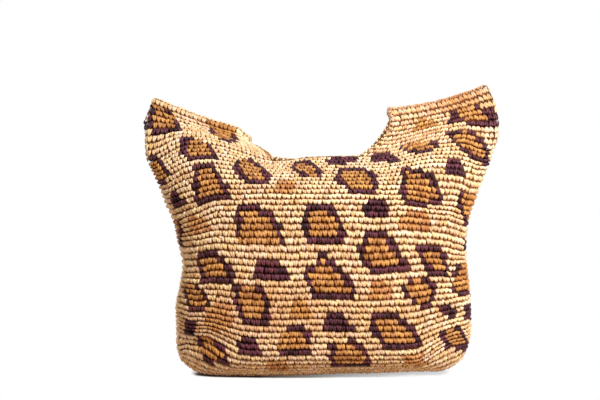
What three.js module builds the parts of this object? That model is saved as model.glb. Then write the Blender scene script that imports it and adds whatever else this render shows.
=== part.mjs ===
// A crocheted raffia shoulder bag with one wide strap, standing on its base.
// The body is worked in rounds from a long oval base up to the mouth. Its two ends
// carry on upward as "ears", which are the ends of the strap: each is a double layer,
// joined along its outer edge. The strap folds over backward along the top of both
// ears, and the rest of it hangs in a swag behind the bag.
// Millimetres. +X runs along the bag's width, -Y is its front and +Z is up.
// The origin is on the floor, under the middle of the bag.
import * as THREE from "three";

// Driving sizes
const WALL = 3;
const SEAM_GAP = 1.65;
const BASE_GAP = 2.6;
const ROUNDS = 36;
const POINTS_AROUND = 72;
const SAMPLES_AROUND = 360;
const BODY_STEPS = 20;
const BASE_STEPS_LONG = 26;
const BASE_STEPS_WIDE = 6;
const BASE_TURN = 0.965;

// Rounds of the body, from the base edge (round 0) to the mouth (round 36).
// height: the round at the front middle. left, right: its ends along X.
// front, back, side: where its front, back and ends lie along Y.
// square: exponent of the superellipse, higher is squarer.
// shoulder: rise of the round where the ears grow out of it.
// liftLeft, liftRight: rise of the round at its two ends, which starts at the share
// "bend" of the way out from the middle.
const BODY_COLUMNS = [
  "height", "left", "right", "front", "back", "side", "square", "shoulder",
  "liftLeft", "liftRight", "bend",
];
const BODY = [
  { round: 0, height: 1.5, left: -177, right: 172, front: -26, back: 42, side: 6,
    square: 3.2, shoulder: 0, liftLeft: 15, liftRight: 17, bend: 0.8 },
  { round: 2, height: 11.3, left: -182, right: 179, front: -40, back: 51, side: 4,
    square: 3.0, shoulder: 0, liftLeft: 23, liftRight: 25, bend: 0.66 },
  { round: 4, height: 24, left: -182, right: 182, front: -51, back: 57, side: 2,
    square: 2.8, shoulder: 0, liftLeft: 25, liftRight: 28, bend: 0.56 },
  { round: 6, height: 39.7, left: -182, right: 182, front: -58, back: 61, side: 1,
    square: 2.6, shoulder: 0, liftLeft: 22, liftRight: 24, bend: 0.48 },
  { round: 10, height: 74, left: -182.5, right: 181.5, front: -63, back: 63, side: 0,
    square: 2.6, shoulder: 0, liftLeft: 12, liftRight: 13, bend: 0.45 },
  { round: 14, height: 109, left: -177, right: 179, front: -64, back: 63, side: 0,
    square: 2.6, shoulder: 0, liftLeft: 4, liftRight: 6, bend: 0.45 },
  { round: 18, height: 144, left: -174, right: 175.5, front: -64, back: 62, side: 1,
    square: 2.6, shoulder: 0, liftLeft: -4, liftRight: 0, bend: 0.5 },
  { round: 22, height: 179, left: -180, right: 176, front: -63.5, back: 61, side: 3,
    square: 2.6, shoulder: 1, liftLeft: -12, liftRight: -4, bend: 0.55 },
  { round: 25, height: 205, left: -184.5, right: 180, front: -62.5, back: 60, side: 6,
    square: 2.6, shoulder: 3, liftLeft: -16, liftRight: -6, bend: 0.6 },
  { round: 28, height: 229.5, left: -196, right: 189, front: -55, back: 58, side: 10,
    square: 2.7, shoulder: 7, liftLeft: -15, liftRight: -6, bend: 0.6 },
  { round: 30, height: 242.5, left: -201, right: 194, front: -43, back: 54, side: 13,
    square: 2.9, shoulder: 10, liftLeft: -14, liftRight: -5, bend: 0.6 },
  { round: 33, height: 257.3, left: -209.5, right: 203, front: -21.5, back: 45, side: 17,
    square: 3.4, shoulder: 13, liftLeft: -10, liftRight: 1, bend: 0.6 },
  { round: 36, height: 270, left: -217, right: 210, front: 2, back: 31, side: 20,
    square: 4.6, shoulder: 16, liftLeft: -8, liftRight: 8, bend: 0.6 },
];

// Where the ears' rise starts, is full, and has died away, as shares of a half width
const SHOULDER_SHARES = { start: 0.3, full: 0.7, easing: 0.78 };

// Dents and soft folds of the wall. x, z: the middle. along, across: half sizes.
// turn: degrees from level. depth: how far the wall is pushed in. face: -1 front, 1 back.
const DENTS = [
  { x: -168, z: 43, along: 34, across: 9, turn: 4, depth: 6, face: -1 },
  { x: 150, z: 62, along: 46, across: 16, turn: 32, depth: 4, face: -1 },
  { x: -40, z: 246, along: 42, across: 16, turn: 0, depth: 3, face: -1 },
  { x: -150, z: 128, along: 40, across: 26, turn: -20, depth: 4, face: -1 },
  { x: 30, z: 120, along: 70, across: 30, turn: 12, depth: 5, face: 1 },
];

// Strap: the two layers lie LAYER_NEAR and LAYER_NEAR + LAYER_GAP from the fold's axis
const LAYER_NEAR = 3.5;
const LAYER_GAP = 6;
const FOLD_START = 64;
const FOLD_END = -90;
const FOLD_NUDGE = 4;
const EAR_STEPS = 9;
const FOLD_STEPS = 7;
const SWAG_STEPS = 26;
const LEG_STEPS = 8;
const EDGE_STEPS = 4;
const LEG_SHARE = 0.45;

// The two ears. mouth: where the mouth ends along X. foldIn, foldOut: the ends of the
// axis that the strap folds over. sag: dip of that axis at its middle. droop: dip of
// its inner end, over the share DROOP_SHARE of its length. bulge: how far the outer edge
// swells outward. swell: how far the front layer's inner edge swells toward the mouth.
// shelf: pull along the bag's rounded top before the ear turns upward.
const EARS = [
  { mouth: -62, foldIn: [-93, 55, 289], foldOut: [-216.5, 61, 331], sag: 2.5, droop: 11,
    bulge: 0, swell: 16, shelf: 84 },
  { mouth: 44, foldIn: [83, 54, 317.5], foldOut: [208, 59, 346.5], sag: 5, droop: 0,
    bulge: 5, swell: 0, shelf: 74 },
];
const DROOP_SHARE = 0.18;

// How sharply the swell keeps to the inner edge, and the bulge to the outer one
const INNER_POWER = 8;
const OUTER_POWER = 4;

// Pulls that shape an ear between the body's top round and the fold: LEAVING along the
// wall it grows from, and ARRIVING at the fold, for its back and front layers and its
// outer edge. The front layer leaves by the ear's own shelf.
const LEAVING_BACK = 34;
const LEAVING_EDGE = 46;
const ARRIVING_BACK = 14;
const ARRIVING_FRONT = 52;

// The swag behind the bag, as its upper (inner) and lower (outer) edges
const SWAG_DROP = 30;
const SWAG = [
  { innerX: -90, innerZ: 222, outerX: -196, outerZ: 232, y: 61.5 },
  { innerX: -52, innerZ: 194, outerX: -116, outerZ: 156, y: 64 },
  { innerX: 0, innerZ: 185, outerX: -2, outerZ: 126, y: 65 },
  { innerX: 50, innerZ: 196, outerX: 112, outerZ: 158, y: 64 },
  { innerX: 84, innerZ: 234, outerX: 188, outerZ: 240, y: 61 },
];

// Finishes
const STRAW = { color: 0xe6c084, roughness: 0.75, metalness: 0 };

const lerp = THREE.MathUtils.lerp;
const smoothStep = THREE.MathUtils.smoothstep;
const toRadians = THREE.MathUtils.degToRad;

// A smooth curve through each named column of a table, read at any place between rows
function columnsThrough(rows, key, names) {
  const places = rows.map((row) => row[key]);
  const values = rows.flatMap((row) => names.map((name) => row[name]));
  const curve = new THREE.CubicInterpolant(places, values, names.length);
  return (at) => {
    const found = curve.evaluate(at);
    return Object.fromEntries(names.map((name, index) => [name, found[index]]));
  };
}

const bodyAt = columnsThrough(BODY, "round", BODY_COLUMNS);

// How far a round has risen at a share of the way from its middle to its end
function rise(section, share, onRight) {
  const { start, full, easing } = SHOULDER_SHARES;
  const shoulder = smoothStep(share, start, full) * (1 - smoothStep(share, easing, 1));
  const lift = onRight ? section.liftRight : section.liftLeft;
  const beyond = Math.max(0, share - section.bend) / (1 - section.bend);
  return section.shoulder * shoulder + lift * beyond * beyond;
}

// How far the wall is pushed in at a point of its front or back
function dentDepth(point, face) {
  return DENTS.filter((dent) => dent.face === face).reduce((total, dent) => {
    const turn = toRadians(dent.turn);
    const dx = point.x - dent.x;
    const dz = point.z - dent.z;
    const along = (dx * Math.cos(turn) + dz * Math.sin(turn)) / dent.along;
    const across = (dz * Math.cos(turn) - dx * Math.sin(turn)) / dent.across;
    return total + dent.depth * Math.exp(-along * along - across * across);
  }, 0);
}

// The middle of the wall at a round. turn runs from 0 at the front middle through the
// right end at a quarter, the back at a half and the left end at three quarters.
function bodyPoint(round, turn) {
  const section = bodyAt(round);
  const sideways = Math.sin(2 * Math.PI * turn);
  const forward = Math.cos(2 * Math.PI * turn);
  const power = 2 / section.square;
  const share = Math.abs(sideways) ** power;
  const onRight = sideways > 0;
  const reach = onRight ? section.right : section.left;
  const face = forward > 0 ? section.front : section.back;
  const point = new THREE.Vector3(
    reach * share,
    section.side + (face - section.side) * Math.abs(forward) ** power,
    section.height + rise(section, share, onRight),
  );
  const sign = forward > 0 ? -1 : 1;
  point.y -= sign * dentDepth(point, sign) * Math.abs(forward) ** power;
  return point;
}

// Evenly spaced points all the way round one round
function bodyRound(round) {
  const samples = Array.from({ length: SAMPLES_AROUND }, (_, index) =>
    bodyPoint(round, index / SAMPLES_AROUND),
  );
  const loop = new THREE.CatmullRomCurve3(samples, true);
  loop.arcLengthDivisions = 2 * SAMPLES_AROUND;
  return loop.getSpacedPoints(POINTS_AROUND).slice(0, POINTS_AROUND);
}

// Unit normals of a grid of points: along a row crossed with up the rows
function gridNormals(grid, closed) {
  return grid.map((row, i) =>
    row.map((_, j) => {
      const last = row.length - 1;
      const before = closed ? (j + last) % row.length : Math.max(0, j - 1);
      const after = closed ? (j + 1) % row.length : Math.min(last, j + 1);
      const below = grid[Math.max(0, i - 1)][j];
      const above = grid[Math.min(grid.length - 1, i + 1)][j];
      const along = row[after].clone().sub(row[before]);
      return along.cross(above.clone().sub(below)).normalize();
    }),
  );
}

// A closed solid of the wall's thickness around a grid of points
function wallAround(grid, closed) {
  const normals = gridNormals(grid, closed);
  const rows = grid.length;
  const columns = grid[0].length;
  const positions = [0.5, -0.5].flatMap((side) =>
    grid.flatMap((row, i) =>
      row.flatMap((point, j) =>
        point.clone().addScaledVector(normals[i][j], side * WALL).toArray(),
      ),
    ),
  );
  const outer = (i, j) => i * columns + (j % columns);
  const inner = (i, j) => rows * columns + outer(i, j);
  const faces = [];
  const quad = (a, b, c, d) => faces.push(a, b, c, a, c, d);
  const cells = closed ? columns : columns - 1;
  for (let j = 0; j < cells; j += 1) {
    for (let i = 0; i < rows - 1; i += 1) {
      quad(outer(i, j), outer(i, j + 1), outer(i + 1, j + 1), outer(i + 1, j));
      quad(inner(i, j), inner(i + 1, j), inner(i + 1, j + 1), inner(i, j + 1));
    }
    const top = rows - 1;
    quad(outer(0, j + 1), outer(0, j), inner(0, j), inner(0, j + 1));
    quad(outer(top, j), outer(top, j + 1), inner(top, j + 1), inner(top, j));
  }
  for (let i = 0; i < rows - 1 && !closed; i += 1) {
    const end = columns - 1;
    quad(outer(i, 0), outer(i + 1, 0), inner(i + 1, 0), inner(i, 0));
    quad(outer(i + 1, end), outer(i, end), inner(i, end), inner(i + 1, end));
  }
  const geometry = new THREE.BufferGeometry();
  geometry.setAttribute("position", new THREE.Float32BufferAttribute(positions, 3));
  geometry.setIndex(faces);
  geometry.computeVertexNormals();
  return geometry;
}

function piece(name, geometry) {
  const mesh = new THREE.Mesh(geometry, new THREE.MeshStandardMaterial(STRAW));
  mesh.name = name;
  return mesh;
}

// Body: the wall in the round, with an open bottom and mouth
function makeBody() {
  const rounds = Array.from({ length: BODY_STEPS + 1 }, (_, step) =>
    bodyRound((ROUNDS * step) / BODY_STEPS),
  );
  return piece("body", wallAround(rounds, true));
}

// Base: a long oval that is flat in the middle and turns up at both ends, set just
// inside the body's lowest round
function makeBase() {
  const section = bodyAt(0);
  const columns = Array.from({ length: BASE_STEPS_LONG + 1 }, (_, step) => {
    const turn = BASE_TURN * ((2 * step) / BASE_STEPS_LONG - 1);
    const sideways = Math.sin((Math.PI / 2) * turn);
    const onRight = sideways > 0;
    const reach = (onRight ? section.right : -section.left) - BASE_GAP;
    const share = Math.abs(sideways);
    const width = (1 - share ** section.square) ** (1 / section.square);
    const front = section.side + (section.front + BASE_GAP - section.side) * width;
    const back = section.side + (section.back - BASE_GAP - section.side) * width;
    const z = WALL / 2 + rise(section, share, onRight);
    return Array.from({ length: BASE_STEPS_WIDE + 1 }, (_, across) => {
      const y = lerp(back, front, across / BASE_STEPS_WIDE);
      return new THREE.Vector3(sideways * reach, y, z);
    });
  });
  return piece("base", wallAround(columns, false));
}

// Places across the folded strap: 0 is the back layer's inner edge, 1 the front layer's
const ACROSS = [
  ...Array.from({ length: LEG_STEPS }, (_, k) => (LEG_SHARE * k) / LEG_STEPS),
  ...Array.from({ length: EDGE_STEPS }, (_, k) =>
    LEG_SHARE + ((1 - 2 * LEG_SHARE) * k) / EDGE_STEPS),
  ...Array.from({ length: LEG_STEPS + 1 }, (_, k) =>
    1 - LEG_SHARE + (LEG_SHARE * k) / LEG_STEPS),
];

// A folded section of the strap between its inner and outer edges, with its layers
// stacked along "way"
function hairpin(inner, outer, way, sag = 0, droop = 0) {
  const radius = LAYER_GAP / 2;
  const along = outer.clone().sub(inner);
  const length = along.length() - radius;
  along.normalize();
  return ACROSS.map((share) => {
    const onBack = share < LEG_SHARE;
    const onFront = share > 1 - LEG_SHARE;
    const leg = onBack ? share / LEG_SHARE : (1 - share) / LEG_SHARE;
    const bow = (Math.PI * (share - LEG_SHARE)) / (1 - 2 * LEG_SHARE);
    const bent = !onBack && !onFront;
    const reach = bent ? length + radius * Math.sin(bow) : length * leg;
    const stack = bent ? -radius * Math.cos(bow) : onBack ? -radius : radius;
    const outShare = Math.min(1, reach / length);
    const nearInner = Math.max(0, 1 - outShare / DROOP_SHARE);
    const dip = sag * Math.sin(Math.PI * outShare) + droop * nearInner * nearInner;
    return inner.clone()
      .addScaledVector(along, reach)
      .addScaledVector(way, LAYER_NEAR + radius + stack)
      .add(new THREE.Vector3(0, 0, -dip));
  });
}

// The folded section that has turned through an angle over an ear's fold axis
function foldSection(ear, degrees) {
  const inner = new THREE.Vector3(...ear.foldIn);
  const outer = new THREE.Vector3(...ear.foldOut);
  const axis = outer.clone().sub(inner).normalize();
  const angle = toRadians(degrees);
  const way = new THREE.Vector3(0, -Math.sin(angle), Math.cos(angle));
  way.addScaledVector(axis, -way.dot(axis)).normalize();
  return hairpin(inner, outer, way, ear.sag, ear.droop);
}

// The turn at which a round reaches x on its front or back
function turnAtX(round, x, onFront) {
  const section = bodyAt(round);
  const reach = x > 0 ? section.right : section.left;
  const quarter = Math.asin((x / reach) ** (section.square / 2)) / (2 * Math.PI);
  const fromFront = x > 0 ? quarter : 1 - quarter;
  const fromBack = x > 0 ? 0.5 - quarter : 0.5 + quarter;
  return onFront ? fromFront : fromBack;
}

// The part of the body's top round that an ear grows from, and the way the wall runs
function earRoot(ear) {
  const start = turnAtX(ROUNDS, ear.mouth, false);
  const end = turnAtX(ROUNDS, ear.mouth, true);
  const turns = Array.from({ length: SAMPLES_AROUND + 1 }, (_, k) =>
    lerp(start, end, k / SAMPLES_AROUND));
  const curveAt = (round) =>
    new THREE.CatmullRomCurve3(turns.map((turn) => bodyPoint(round, turn)));
  const top = curveAt(ROUNDS);
  const below = curveAt(ROUNDS - 1);
  return ACROSS.map((share) => {
    const point = top.getPointAt(share);
    const way = point.clone().sub(below.getPointAt(share)).normalize();
    return { point, way };
  });
}

// One ear, as rows of points from the body's top round to the start of the fold
function earRows(ear) {
  const root = earRoot(ear);
  const foldStart = foldSection(ear, FOLD_START);
  const foldNext = foldSection(ear, FOLD_START - FOLD_NUDGE);
  const outward = Math.sign(ear.mouth);
  return Array.from({ length: EAR_STEPS }, (_, step) => {
    const share = step / EAR_STEPS;
    const keep = (1 + 2 * share) * (1 - share) ** 2;
    const leave = share * (1 - share) ** 2;
    const arrive = share * share * (share - 1);
    return root.map(({ point, way }, k) => {
      const across = ACROSS[k];
      const endness = Math.sin(Math.PI * across) ** OUTER_POWER;
      const onFront = across > 0.5;
      const leaving = lerp(onFront ? ear.shelf : LEAVING_BACK, LEAVING_EDGE, endness);
      const arriving = lerp(onFront ? ARRIVING_FRONT : ARRIVING_BACK, ARRIVING_FRONT, endness);
      const rising = foldNext[k].clone().sub(foldStart[k]).normalize();
      const inness = Math.max(0, 2 * across - 1) ** INNER_POWER;
      const bulge = (ear.bulge * endness - ear.swell * inness) * Math.sin(Math.PI * share);
      return point.clone().multiplyScalar(keep)
        .addScaledVector(foldStart[k], 1 - keep)
        .addScaledVector(way, leave * leaving)
        .addScaledVector(rising, arrive * arriving)
        .addScaledVector(way, SEAM_GAP * keep)
        .add(new THREE.Vector3(bulge * outward, 0, 0));
    });
  });
}

// The fold over the top of one ear
function foldRows(ear) {
  return Array.from({ length: FOLD_STEPS }, (_, step) =>
    foldSection(ear, lerp(FOLD_START, FOLD_END, step / FOLD_STEPS)));
}

// The swag that hangs from the left fold to the right one
function swagRows() {
  const back = new THREE.Vector3(0, 1, 0);
  const ends = EARS.map((ear) => {
    const inner = new THREE.Vector3(...ear.foldIn);
    const outer = new THREE.Vector3(...ear.foldOut);
    const axis = outer.clone().sub(inner).setY(0).normalize();
    const aside = Math.sign(axis.x) * Math.abs(axis.z);
    const down = new THREE.Vector3(aside, 0, -Math.abs(axis.x));
    return [inner, outer].map((edge) => [edge, edge.clone().addScaledVector(down, SWAG_DROP)]);
  });
  const [innerEdge, outerEdge] = ["inner", "outer"].map((edge, k) => {
    const middle = SWAG.map((row) => new THREE.Vector3(row[edge + "X"], row.y, row[edge + "Z"]));
    const points = [...ends[0][k], ...middle, ...ends[1][k].toReversed()];
    return new THREE.CatmullRomCurve3(points, false, "centripetal");
  });
  return Array.from({ length: SWAG_STEPS + 1 }, (_, step) =>
    hairpin(
      innerEdge.getPoint(step / SWAG_STEPS),
      outerEdge.getPoint(step / SWAG_STEPS),
      back,
    ));
}

// Strap: up the left ear, over its fold, along the swag, and down the right ear
function makeStrap() {
  const [left, right] = EARS;
  const rows = [
    ...earRows(left),
    ...foldRows(left),
    ...swagRows(),
    ...foldRows(right).toReversed(),
    ...earRows(right).toReversed(),
  ];
  return piece("strap", wallAround(rows, false));
}

const bag = new THREE.Group();
bag.add(makeBase(), makeBody(), makeStrap());

export default bag;
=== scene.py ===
# %% [markdown]
# # A spotted raffia shoulder bag
# The real bag is crocheted from raffia in rounds, from a long oval base up to the mouth.
# Both ends carry on upward into "ears", the ends of a wide strap that folds over backward.
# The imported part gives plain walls. This lesson lays real stitches on those walls, one
# loop of raffia at a time, and works a spotted pattern into them by changing the yarn.

import bpy
import numpy as np
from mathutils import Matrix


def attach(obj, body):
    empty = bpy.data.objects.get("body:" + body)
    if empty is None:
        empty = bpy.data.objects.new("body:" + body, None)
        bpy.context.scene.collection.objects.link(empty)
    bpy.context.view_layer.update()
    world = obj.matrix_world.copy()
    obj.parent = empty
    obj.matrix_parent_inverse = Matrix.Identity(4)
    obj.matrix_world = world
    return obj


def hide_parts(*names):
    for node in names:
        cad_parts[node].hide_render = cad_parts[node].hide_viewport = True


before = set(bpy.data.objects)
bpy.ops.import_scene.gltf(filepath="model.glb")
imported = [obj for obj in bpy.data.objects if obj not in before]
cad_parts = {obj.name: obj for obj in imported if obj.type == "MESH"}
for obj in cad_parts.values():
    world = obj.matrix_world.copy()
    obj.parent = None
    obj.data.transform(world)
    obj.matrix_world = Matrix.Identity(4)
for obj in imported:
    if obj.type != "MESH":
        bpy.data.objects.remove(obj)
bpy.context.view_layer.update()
bpy.ops.object.select_all(action="DESELECT")
print("The frame has these walls:", ", ".join(sorted(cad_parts)))

# %% [markdown]
# ## The camera
# A product photograph is taken from far away with a long lens, so that a bag looks flat
# and calm. The camera comes first here because the spots of the pattern are placed by
# where they appear in the picture. One number does most of the work: how much of the bag
# one pixel covers.

# %% Camera
PHOTO_WIDE, PHOTO_HIGH = 600, 400
PIXEL = 0.00125
CAMERA_AWAY = 2.6
CAMERA_TILT = np.radians(6.0)
CAMERA_X, CAMERA_UP = -0.0294, 0.2158
SENSOR_WIDE = 36.0

look = np.array([0.0, np.cos(CAMERA_TILT), -np.sin(CAMERA_TILT)])
upright = np.array([0.0, np.sin(CAMERA_TILT), np.cos(CAMERA_TILT)])
camera_place = CAMERA_X * np.array([1.0, 0.0, 0.0]) + CAMERA_UP * upright - CAMERA_AWAY * look


def photo_pixels(points):
    """Where points of the bag appear in the photograph."""
    away = points - camera_place
    scale = CAMERA_AWAY / PIXEL / (away @ look)
    return PHOTO_WIDE / 2 + away[..., 0] * scale, PHOTO_HIGH / 2 - (away @ upright) * scale


bpy.ops.object.camera_add(location=camera_place, rotation=(np.pi / 2 - CAMERA_TILT, 0, 0))
camera = bpy.context.object
camera.name = "camera"
camera.data.sensor_width = SENSOR_WIDE
camera.data.lens = SENSOR_WIDE * CAMERA_AWAY / (PHOTO_WIDE * PIXEL)
bpy.context.scene.camera = camera
print(f"The lens is {camera.data.lens:.1f} mm long")

# %% [markdown]
# ## The surfaces that carry the crochet
# Every wall is described as a surface with two directions: up through the courses (the
# rounds or rows of crochet) and along a course. A mesh could be sculpted by hand, but
# stitches have to follow it exactly, so it is worked out from curves. Its sizes are those
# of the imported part, with a few shifts of up to 6 mm where the photograph asks for them.

# %% Curves
def hermite(start, end, leaving, arriving, t):
    """A smooth curve from start to end, by the slopes with which it leaves and arrives."""
    keep = (1 + 2 * t) * (1 - t) ** 2
    turn = leaving * t * (1 - t) ** 2 + arriving * t ** 2 * (t - 1)
    return start * keep + end * (1 - keep) + turn


def curve_through(places, rows, at):
    """Smooth curves through the rows of a table, read at many places."""
    slopes = np.gradient(rows, places, axis=0)
    slopes[1:-1] = (rows[2:] - rows[:-2]) / (places[2:] - places[:-2])[:, None]
    k = np.clip(np.searchsorted(places, at, side="right") - 1, 0, len(places) - 2)
    gap = (places[k + 1] - places[k])[:, None]
    t = (at - places[k])[:, None] / gap
    return hermite(rows[k], rows[k + 1], slopes[k] * gap, slopes[k + 1] * gap, t)


def reach_along(points):
    """How far each point is from the first, along the line of points."""
    return np.cumsum(np.linalg.norm(np.diff(points, axis=0, prepend=points[:1]), axis=1))


def read_along(rows, places, at):
    """Rows of a table read at places between them, along straight lines."""
    return np.stack([np.interp(at, places, side) for side in rows.T], axis=1)


def spread_evenly(rows, count):
    """The same rows of points, with points at even distances along each row."""
    reaches = [reach_along(row) for row in rows]
    return np.array([read_along(row, reach, np.linspace(0, reach[-1], count + 1))
                     for row, reach in zip(rows, reaches)])


def smooth(share, low, high):
    """A soft step from 0 to 1 between two places."""
    t = np.clip((share - low) / (high - low), 0, 1)
    return t * t * (3 - 2 * t)


def unit(vectors):
    """Vectors of length one."""
    return vectors / np.maximum(np.linalg.norm(vectors, axis=-1, keepdims=True), 1e-12)


print("A quarter of the way up, a soft step has reached", smooth(0.25, 0, 1))

# %% [markdown]
# A fabric is a fine grid of points on such a surface. It can be asked for the point at any
# course, any share of the way along it and any height over the middle of the wall.

# %% A fabric
ROWS_A_COURSE = 4


class Fabric:
    """A crocheted surface: a grid of points with a few rows to each course."""

    def __init__(self, rows, closed=False):
        self.rows, self.closed = rows, closed
        along = np.gradient(rows, axis=1)
        if closed:
            along[:, 0] = along[:, -1] = rows[:, 1] - rows[:, -2]
        self.normals = unit(np.cross(along, np.gradient(rows, axis=0)))
        self.courses = (len(rows) - 1) // ROWS_A_COURSE
        self.lengths = np.linalg.norm(np.diff(rows, axis=1), axis=2).sum(axis=1)

    def _read(self, grid, course, along):
        """Values of a grid between its points, at any course and place along it."""
        i, j = course * ROWS_A_COURSE, along * (grid.shape[1] - 1)
        if self.closed:
            j = j % (grid.shape[1] - 1)
        i0 = np.clip(np.floor(i), 0, grid.shape[0] - 2).astype(int)
        j0 = np.clip(np.floor(j), 0, grid.shape[1] - 2).astype(int)
        i, j = (i - i0)[..., None], (j - j0)[..., None]
        low = grid[i0, j0] * (1 - j) + grid[i0, j0 + 1] * j
        high = grid[i0 + 1, j0] * (1 - j) + grid[i0 + 1, j0 + 1] * j
        return low * (1 - i) + high * i

    def normal(self, course, along):
        """Which way the outside of the fabric faces."""
        return unit(self._read(self.normals, course, along))

    def at(self, course, along, height=0.0):
        """Points at a height over the middle of the wall."""
        over = np.asarray(height)[..., None] * self.normal(course, along)
        return self._read(self.rows, course, along) + over

    def length(self, course):
        """How long a course is, at its middle."""
        return self.lengths[int((course + 0.5) * ROWS_A_COURSE)]


print(f"A fabric keeps {ROWS_A_COURSE} rows of points for each course")

# %% [markdown]
# ## The body
# The body is a soft bucket: a rounded oblong in plan that starts under the base, stands
# upright, and rolls inward at the top. Each line of the table gives one round of crochet
# with its place and shape, and smooth curves fill in the rounds between. Small dents
# where the raffia has slumped are pushed in afterwards.

# %% The body's rounds
ROUNDS = 36
# Round, height, left, right, front, back, side, squareness, shoulder, lift left, lift right, bend
BODY = np.array([
    (0, 0.0015, -0.177, 0.172, -0.026, 0.042, 0.006, 3.2, 0, 0.015, 0.017, 0.8),
    (2, 0.0113, -0.182, 0.179, -0.040, 0.051, 0.004, 3.0, 0, 0.023, 0.025, 0.66),
    (4, 0.024, -0.182, 0.182, -0.051, 0.057, 0.002, 2.8, 0, 0.025, 0.028, 0.56),
    (6, 0.0397, -0.182, 0.182, -0.058, 0.061, 0.001, 2.6, 0, 0.022, 0.024, 0.48),
    (10, 0.074, -0.1825, 0.1815, -0.063, 0.063, 0, 2.6, 0, 0.012, 0.013, 0.45),
    (14, 0.109, -0.177, 0.179, -0.064, 0.063, 0, 2.6, 0, 0.004, 0.006, 0.45),
    (18, 0.144, -0.174, 0.1755, -0.064, 0.062, 0.001, 2.6, 0, -0.004, 0, 0.5),
    (22, 0.179, -0.180, 0.176, -0.0635, 0.061, 0.003, 2.6, 0.001, -0.012, -0.004, 0.55),
    (25, 0.205, -0.1845, 0.180, -0.0625, 0.060, 0.006, 2.6, 0.003, -0.016, -0.006, 0.6),
    (28, 0.2295, -0.196, 0.189, -0.055, 0.058, 0.010, 2.7, 0.007, -0.015, -0.006, 0.6),
    (30, 0.2425, -0.201, 0.194, -0.043, 0.054, 0.013, 2.9, 0.010, -0.014, -0.005, 0.6),
    (33, 0.2573, -0.2095, 0.203, -0.0215, 0.045, 0.017, 3.4, 0.013, -0.010, 0.001, 0.6),
    (36, 0.270, -0.217, 0.210, 0.002, 0.031, 0.020, 4.6, 0.016, -0.008, 0.008, 0.6),
])
BODY_ROUND, BODY_SHAPE = BODY[:, 0], BODY[:, 1:]
# The columns of BODY_SHAPE from which a round's squareness and its rise are read
SQUARE, RISE = 6, 7
SHOULDER_START, SHOULDER_FULL, SHOULDER_EASING = 0.3, 0.7, 0.78
FRONT, BACK = -1, 1
# Dents: middle x and z, half sizes along and across, degrees from level, depth, face
DENTS = [
    (-0.168, 0.043, 0.034, 0.008, 4, 0.009, FRONT),
    (0.150, 0.062, 0.046, 0.016, 32, 0.004, FRONT),
    (-0.040, 0.246, 0.042, 0.016, 0, 0.003, FRONT),
    (-0.150, 0.128, 0.040, 0.026, -20, 0.004, FRONT),
    (0.030, 0.120, 0.070, 0.030, 12, 0.005, BACK),
]
# Dips of the mouth's edge: middle x, half width, fall, face. They begin a few rounds below it.
MOUTH_DIPS = [(-0.058, 0.03, 0.0055, FRONT), (-0.02, 0.05, 0.006, BACK)]
MOUTH_FROM = 31


def hump_of(share):
    """The shoulder's hump at a share of the way from the middle of a round to its end."""
    return smooth(share, SHOULDER_START, SHOULDER_FULL) * (1 - smooth(share, SHOULDER_EASING, 1))


def rise_of(share, on_right, shoulder, lift_left, lift_right, bend):
    """How far a round has risen at a share of the way from its middle to its end."""
    beyond = np.maximum(0, share - bend) / (1 - bend)
    return shoulder * hump_of(share) + np.where(on_right, lift_right, lift_left) * beyond ** 2


def body_points(rounds, turns):
    """The middle of the body's wall. Turn 0 is the front, and a quarter is the right end."""
    rounds = np.asarray(rounds, float)
    columns = curve_through(BODY_ROUND, BODY_SHAPE, rounds.ravel())
    columns = np.moveaxis(columns.reshape(rounds.shape + (-1,)), -1, 0)
    height, left, right, front, back, side, square, *rise = columns
    across, ahead = np.sin(2 * np.pi * turns), np.cos(2 * np.pi * turns)
    share, depth = np.abs(across) ** (2 / square), np.abs(ahead) ** (2 / square)
    x = np.where(across > 0, right, left) * share
    y = side + (np.where(ahead > 0, front, back) - side) * depth
    z = height + rise_of(share, across > 0, *rise)
    for middle_x, middle_z, along, wide, degrees, push, face in DENTS:
        c, s = np.cos(np.radians(degrees)), np.sin(np.radians(degrees))
        dx, dz = x - middle_x, z - middle_z
        far = ((dx * c + dz * s) / along) ** 2 + ((dz * c - dx * s) / wide) ** 2
        y = y - np.where(np.sign(-ahead) == face, face * push * depth * np.exp(-far), 0)
    for middle_x, half, fall, face in MOUTH_DIPS:
        dip = fall * np.exp(-((x - middle_x) / half) ** 2) * smooth(rounds, MOUTH_FROM, ROUNDS)
        z = z - np.where(np.sign(-ahead) == face, dip, 0)
    return np.stack(np.broadcast_arrays(x, y, z), axis=-1)


print(f"The table shapes {len(BODY)} of the body's {ROUNDS} rounds, with {len(DENTS)} dents")

# %% [markdown]
# The courses that show are finer at the top and the bottom than at the waist. They also
# sag at the ends, where the weight of the strap has pulled them. So the courses don't
# follow the rounds of the table: they slide along the same surface to where the
# photograph shows them.

# %% Lay the body's courses
BODY_COURSES = 43
# A course, and the round of the table that it lies on
COURSE_ROUNDS = np.array([
    (0, 0), (4, 2.4), (9.2, 7), (20.2, 17), (27.7, 24.5), (34.5, 30), (43, 36)], float)
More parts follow.
